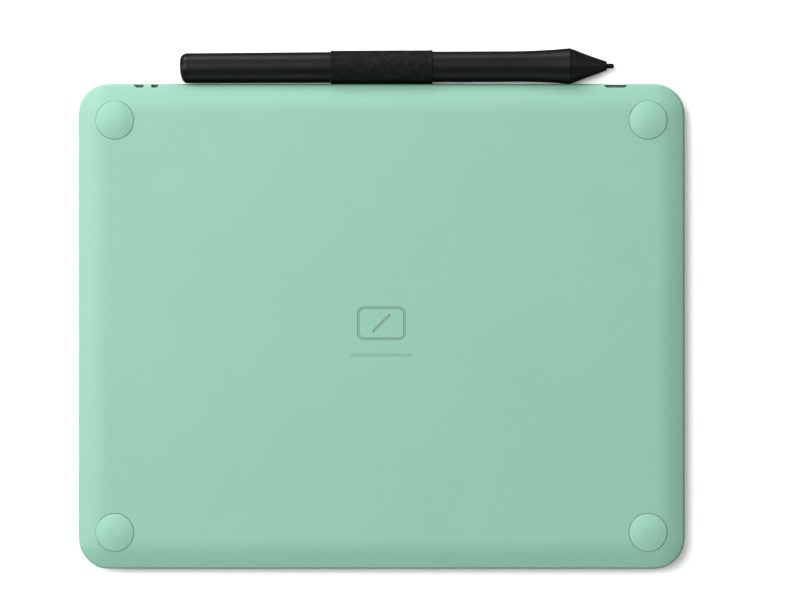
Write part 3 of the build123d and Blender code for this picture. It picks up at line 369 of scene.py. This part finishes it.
def make_finishes():
    """Every material slot's finish, by the slot's name."""
    made = {
        "shell_green": moulded_plastic("shell_green", SHELL, 0.5, 0.004, 0.5, mottle=0.012),
        "foot_green": soft_rubber("foot_green", FOOT, 0.6),
        "cover_black": moulded_plastic("cover_black", shade(BLACK, 1.6), 0.35, 0.008, 0.55),
        "drawing_sheet": drawing_film("drawing_sheet", shade(BLACK, 2.0), 0.6),
        "strip_green": moulded_plastic("strip_green", (0.12, 0.33, 0.225), 0.4, 0.004, 0.5),
        "key_black": moulded_plastic("key_black", shade(BLACK, 1.4), 0.3, 0.004, 0.42),
        "light_lens": plain_finish("light_lens", (0.75, 0.77, 0.78), 0.3, Transmission_Weight=0.5),
        "board_green": plain_finish("board_green", (0.02, 0.09, 0.05), 0.35),
        "chip_black": plain_finish("chip_black", (0.02, 0.02, 0.02), 0.6),
        "connector_white": plain_finish("connector_white", (0.75, 0.73, 0.68), 0.5),
        "steel": plain_finish("steel", (0.55, 0.55, 0.56), 0.3, stretch=(1, 8, 1), Metallic=1.0),
        "flex_amber": plain_finish("flex_amber", (0.45, 0.2, 0.04), 0.35),
        "cell_foil": plain_finish("cell_foil", (0.55, 0.56, 0.58), 0.4, Metallic=0.9),
        "wire_black": plain_finish("wire_black", (0.02, 0.02, 0.02), 0.5),
        "loop_fabric": woven_fabric("loop_fabric", shade(PEN_BLACK, 1.1), 0.6),
        "pen_black": pen_plastic("pen_black", PEN_BLACK, 0.46),
        "nib_black": plain_finish("nib_black", PEN_BLACK, 0.5, Specular_IOR_Level=0.12),
        "pen_frame": plain_finish("pen_frame", (0.09, 0.09, 0.1), 0.5),
        "ferrite_grey": plain_finish("ferrite_grey", (0.1, 0.1, 0.11), 0.55),
        "copper": plain_finish("copper", (0.55, 0.24, 0.1), 0.3, stretch=(0.3, 4, 4), Metallic=1.0),
    }
    return {slot: finish.material for slot, finish in made.items()}


# ---------------------------------------------------------------- stage and lights
STAGE_REACH = 6.0  # metres, half the width of each stage sheet
STAGE_FADE = (0.3, 0.9)  # metres from the object's middle


def stage_paper(name, paleness, lift):
    """Paper that is clear from behind and that fades into the pale surround far from the object.

    lift is the light that fills its shadows.
    """
    material = bpy.data.materials.new(name)
    material.use_nodes = True
    tree = material.node_tree
    tree.nodes.clear()
    paper = tree.nodes.new("ShaderNodeBsdfDiffuse")
    paper.inputs["Color"].default_value = (paleness, paleness, paleness, 1)
    glow = tree.nodes.new("ShaderNodeEmission")
    glow.inputs["Strength"].default_value = lift
    lifted = tree.nodes.new("ShaderNodeAddShader")
    clear = tree.nodes.new("ShaderNodeBsdfTransparent")
    side = tree.nodes.new("ShaderNodeNewGeometry")
    away = tree.nodes.new("ShaderNodeVectorMath")
    away.operation = "LENGTH"
    fade = tree.nodes.new("ShaderNodeMapRange")
    fade.interpolation_type = "SMOOTHSTEP"
    fade.inputs["From Min"].default_value = STAGE_FADE[0]
    fade.inputs["From Max"].default_value = STAGE_FADE[1]
    unseen = tree.nodes.new("ShaderNodeMath")
    unseen.operation = "MAXIMUM"
    mix = tree.nodes.new("ShaderNodeMixShader")
    output = tree.nodes.new("ShaderNodeOutputMaterial")
    tree.links.new(side.outputs["Position"], away.inputs[0])
    tree.links.new(away.outputs["Value"], fade.inputs["Value"])
    tree.links.new(side.outputs["Backfacing"], unseen.inputs[0])
    tree.links.new(fade.outputs["Result"], unseen.inputs[1])
    tree.links.new(unseen.outputs[0], mix.inputs[0])
    tree.links.new(paper.outputs[0], lifted.inputs[0])
    tree.links.new(glow.outputs[0], lifted.inputs[1])
    tree.links.new(lifted.outputs[0], mix.inputs[1])
    tree.links.new(clear.outputs[0], mix.inputs[2])
    tree.links.new(mix.outputs[0], output.inputs["Surface"])
    return material


def one_sided(name, z, faces_up, paleness, lift):
    """A pale sheet at height z, seen only from its own side, that takes shadows and casts none."""
    mesh = bpy.data.meshes.new(name)
    build = bmesh.new()
    bmesh.ops.create_grid(build, x_segments=1, y_segments=1, size=STAGE_REACH)
    if not faces_up:
        bmesh.ops.reverse_faces(build, faces=build.faces)
    build.to_mesh(mesh)
    build.free()
    mesh.materials.append(stage_paper(name, paleness, lift))
    stage = bpy.data.objects.new(name, mesh)
    stage.location.z = z
    scene.collection.objects.link(stage)
    stage.visible_shadow = False
    stage.visible_diffuse = False
    stage.visible_glossy = False
    stage.visible_transmission = False


LAMPS = {  # direction from the tablet; distance, width and height in metres; power in watts
    "key_below": ((0.41, 0.3, -0.85), 1.6, 1.1, 1.1, 22.3),
    "left_below": ((0.94, 0.1, -0.33), 1.5, 0.25, 1.2, 7.0),
    "top_below": ((0.3, 0.93, -0.14), 1.5, 1.2, 0.25, 17.0),
    "right_below": ((-0.62, 0.3, -0.72), 1.6, 0.5, 0.8, 3.0),
    "fill_below": ((0.0, -0.92, -0.38), 1.5, 1.2, 0.3, 5.0),
    "key_above": ((0.5, -0.15, 0.85), 1.6, 0.9, 0.9, 24.0),
    "high_above": ((-0.12, 0.1, 1.0), 1.7, 0.8, 0.8, 12.0),
}


def add_softbox(name, direction, distance, width, height, power):
    """A flat lamp that faces the object from a direction, and that the camera doesn't see."""
    data = bpy.data.lights.new(name, "AREA")
    data.shape = "RECTANGLE"
    data.size = width
    data.size_y = height
    data.energy = power
    lamp = bpy.data.objects.new(name, data)
    scene.collection.objects.link(lamp)
    towards = Vector(direction).normalized()
    lamp.location = tablet_middle + towards * distance
    lamp.rotation_mode = "QUATERNION"
    lamp.rotation_quaternion = towards.to_track_quat("Z", "Y")
    lamp.visible_camera = False


def add_world(surround, ambient):
    """A pale surround for the camera and a dimmer even light for everything else."""
    world = bpy.data.worlds.new("world")
    world.use_nodes = True
    scene.world = world
    tree = world.node_tree
    tree.nodes.clear()
    seen = tree.nodes.new("ShaderNodeBackground")
    seen.inputs["Strength"].default_value = surround
    light = tree.nodes.new("ShaderNodeBackground")
    light.inputs["Strength"].default_value = ambient
    path = tree.nodes.new("ShaderNodeLightPath")
    mix = tree.nodes.new("ShaderNodeMixShader")
    output = tree.nodes.new("ShaderNodeOutputWorld")
    for background in (seen, light):
        background.inputs["Color"].default_value = (1, 1, 1, 1)
    tree.links.new(path.outputs["Is Camera Ray"], mix.inputs[0])
    tree.links.new(light.outputs[0], mix.inputs[1])
    tree.links.new(seen.outputs[0], mix.inputs[2])
    tree.links.new(mix.outputs[0], output.inputs["Surface"])


BACKDROP_GAP = 0.05 * MM  # between the drawing face and the backdrop, which is seen from below


def add_stage():
    """A floor for views from above, a backdrop for those from below, the lamps and the surround."""
    one_sided("floor", 0.0, faces_up=True, paleness=0.85, lift=0.05)
    one_sided("backdrop", face_z + BACKDROP_GAP, faces_up=False, paleness=1.3, lift=0.14)
    for name, settings in LAMPS.items():
        add_softbox(name, *settings)
    add_world(surround=1.0, ambient=0.06)
    scene.view_settings.view_transform = "Standard"


# ---------------------------------------------------------------- pieces
BAND_FLAT = (33.7 * MM, 45.0 * MM)  # one turn round the barrel and two tails into the casing
BAND_HALF = 0.2 * MM  # half the band's thickness
SELVEDGE = 0.06 * MM  # how much thicker the woven edges are, on the outside
SELVEDGE_WIDTH = 1.0 * MM
BAND_MIDDLE = 5.34 * MM  # from the pen's axis to the middle of the band's thickness
BAND_END_Y = 68.7 * MM  # where the tails end, inside the anchor
TAIL_LEVELS = (5.8 * MM, 6.2 * MM)
THROAT = 0.6 * MM  # radius with which the tails turn into the ring
TAIL_STEPS, THROAT_STEPS, RING_STEPS = 12, 8, 96
EDGE_STEPS, EDGE_PITCH = 6, 0.04  # columns that round each edge, and millimetres between them
INNER_STEPS = 12  # columns from the band's middle to each selvedge
THINNEST = 0.15  # share of the thickness that is left at the very edge
SWELL_SIZE = 4 * MM  # length of the slight waves in the outer face
SWELL_DEPTH = 0.02
TURN_LENGTH = 5 * MM  # over which the tails come round to the pen's slant


def arc(centre, radius, start, end, steps):
    """Points along an arc in the (y, z) plane."""
    angles = [start + (end - start) * step / steps for step in range(steps + 1)]
    return [(centre[0] + radius * math.cos(a), centre[1] + radius * math.sin(a)) for a in angles]


def band_path():
    """The band's middle line at x = 0: out along the lower tail, round the pen, back along the upper."""
    low_level, high_level = TAIL_LEVELS
    turns, tails = [], []
    for side, level in ((-1, low_level), (1, high_level)):
        drop = side * (level - pen_z) + THROAT
        reach = math.sqrt((BAND_MIDDLE + THROAT) ** 2 - drop**2)
        centre = (pen_y - reach, pen_z + side * drop)
        to_ring = math.atan2(-side * drop, reach)
        run = centre[0] - BAND_END_Y
        straight = [(BAND_END_Y + run * step / TAIL_STEPS, level) for step in range(TAIL_STEPS)]
        tails.append(straight + arc(centre, THROAT, -side * math.pi / 2, to_ring, THROAT_STEPS))
        turns.append(to_ring + math.pi)
    sweep = (turns[1] - turns[0]) % (2 * math.pi)
    ring = arc((pen_y, pen_z), BAND_MIDDLE, turns[0], turns[0] + sweep, RING_STEPS)
    return tails[0] + ring[1:-1] + tails[1][::-1]


def band_columns():
    """Places across the band with the share of its thickness there: rounded, thicker edges."""
    half = BAND_FLAT[0] / 2
    rounding = [step * EDGE_PITCH * MM for step in range(EDGE_STEPS)]
    from_edge = rounding + [0.5 * MM, 0.75 * MM, SELVEDGE_WIDTH, 1.3 * MM]
    inner_half = half - 2 * MM
    inner = [step * inner_half / INNER_STEPS for step in range(-INNER_STEPS, INNER_STEPS + 1)]
    places = [d - half for d in from_edge] + inner + [half - d for d in reversed(from_edge)]
    columns = []
    for x in places:
        inset = half - abs(x)
        round_share = math.sqrt(max(1 - (1 - min(inset / BAND_HALF, 1.0)) ** 2, 0.0))
        thicker = SELVEDGE * min(max((SELVEDGE_WIDTH - inset) / (0.3 * MM), 0.0), 1.0)
        columns.append((x, max(round_share, THINNEST), thicker))
    return columns


def lengths_along(path):
    """How far along the path each of its points is."""
    travelled = [0.0]
    for before, after in zip(path, path[1:]):
        travelled.append(travelled[-1] + (after - before).length)
    return travelled


def band_layer(build, path, travelled, columns, side):
    """Rows of corners along the path, for the band's outer face (side 1) or its inner one (side -1)."""
    rows = []
    for index, point in enumerate(path):
        ahead = path[min(index + 1, len(path) - 1)] - path[max(index - 1, 0)]
        outward = Vector((ahead.y, -ahead.x)).normalized() * side
        follows = min(max((point.x - BAND_END_Y) / TURN_LENGTH, 0.0), 1.0)
        row = []
        for x, share, thicker in columns:
            swell = noise.noise(Vector((x, travelled[index], 0.0)) / SWELL_SIZE) * SWELL_DEPTH * MM
            reach = BAND_HALF * share + (thicker * share + swell if side > 0 else 0.0)
            place = point + outward * reach
            tilt = x * pen_heading.y / pen_heading.x * follows
            row.append(build.verts.new((x, place.x + tilt, place.y)))
        rows.append(row)
    return rows


def add_band(finishes):
    """The woven loop: a two-layer band that follows the barrel, its ends lost in the slit."""
    path = [Vector(point) for point in band_path()]
    travelled = lengths_along(path)
    columns = band_columns()
    build = bmesh.new()
    weave = build.loops.layers.uv.new("weave")
    outer, inner = [band_layer(build, path, travelled, columns, side) for side in (1, -1)]
    last_row, last_column = len(path) - 1, len(columns) - 1

    def add_face(corners):
        face = build.faces.new([vert for vert, _ in corners])
        for loop, (_, (row, column)) in zip(face.loops, corners):
            loop[weave].uv = (columns[column][0] / MM, travelled[row] / MM)

    def close_rim(places):
        outside = [(outer[r][c], (r, c)) for r, c in places]
        add_face(outside + [(inner[r][c], (r, c)) for r, c in reversed(places)])

    for row in range(last_row):
        for column in range(last_column):
            places = [(row, column), (row, column + 1), (row + 1, column + 1), (row + 1, column)]
            add_face([(outer[r][c], (r, c)) for r, c in places])
            add_face([(inner[r][c], (r, c)) for r, c in reversed(places)])
        for column in (0, last_column):
            close_rim([(row, column), (row + 1, column)])
    for row in (0, last_row):
        for column in range(last_column):
            close_rim([(row, column), (row, column + 1)])
    bmesh.ops.recalc_face_normals(build, faces=build.faces)
    band = add_piece("loop_band", build, finishes["loop_fabric"])
    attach(band, "tablet")
    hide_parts("pen_loop")


def add_piece(name, build, material):
    """Makes a smooth piece of the object from a bmesh."""
    mesh = bpy.data.meshes.new(name)
    for face in build.faces:
        face.smooth = True
    build.to_mesh(mesh)
    build.free()
    mesh.materials.append(material)
    piece = bpy.data.objects.new(name, mesh)
    scene.collection.objects.link(piece)
    return piece


KEY_ROUNDING = 0.18 * MM
KEY_CREASE = math.radians(35)  # edges sharper than this are rounded
NEARLY_FLAT = math.radians(2)
SAME_POINT = 0.001 * MM
TRAY_DEPTH = 1.2 * MM  # from the drawing face to the bottom of the hollow that the keys' tops follow
DOT_RADIUS = 0.45 * MM
DOT_HEIGHT = 0.14 * MM
KEY_DOTS = {  # raised dots that a finger can find, in millimetres along each key from its middle
    "key_outer_left": (-1.2, 1.2),
    "key_inner_left": (0.0,),
    "key_inner_right": (0.0,),
    "key_outer_right": (-1.2, 1.2),
    "power_button": (),
}


def add_key(name, dots, finishes):
    """A key with its edges rounded and its raised dots, in place of the plain CAD one."""
    build = bmesh.new()
    build.from_mesh(nodes[name].data)
    bmesh.ops.remove_doubles(build, verts=build.verts, dist=SAME_POINT)
    bmesh.ops.dissolve_limit(build, angle_limit=NEARLY_FLAT, verts=build.verts, edges=build.edges)
    joined = [edge for edge in build.edges if len(edge.link_faces) == 2]
    sharp = [edge for edge in joined if edge.calc_face_angle() > KEY_CREASE]
    bmesh.ops.bevel(
        build,
        geom=sharp,
        offset=KEY_ROUNDING,
        segments=3,
        profile=0.5,
        affect="EDGES",
        clamp_overlap=True,
    )
    low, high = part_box(name)
    middle = (low + high) / 2
    for offset in dots:
        made = bmesh.ops.create_uvsphere(build, u_segments=20, v_segments=10, radius=DOT_RADIUS)
        for vert in made["verts"]:
            vert.co.z *= DOT_HEIGHT / DOT_RADIUS
            vert.co += Vector((middle.x + offset * MM, middle.y, face_z - TRAY_DEPTH))
    key = add_piece(name + "_cap", build, finishes["key_black"])
    key.data.set_sharp_from_angle(angle=KEY_CREASE)
    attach(key, name)
    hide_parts(name)


def paint_cad_nodes(finishes):
    """Gives every CAD node the finish of its record's slot."""
    for node in nodes.values():
        for index, material in enumerate(node.data.materials):
            node.material_slots[index].material = finishes[material.name.split(".")[0]]


add_camera()
add_stage()
finishes = make_finishes()
paint_cad_nodes(finishes)
add_band(finishes)
for key_name, dots in KEY_DOTS.items():
    add_key(key_name, dots, finishes)
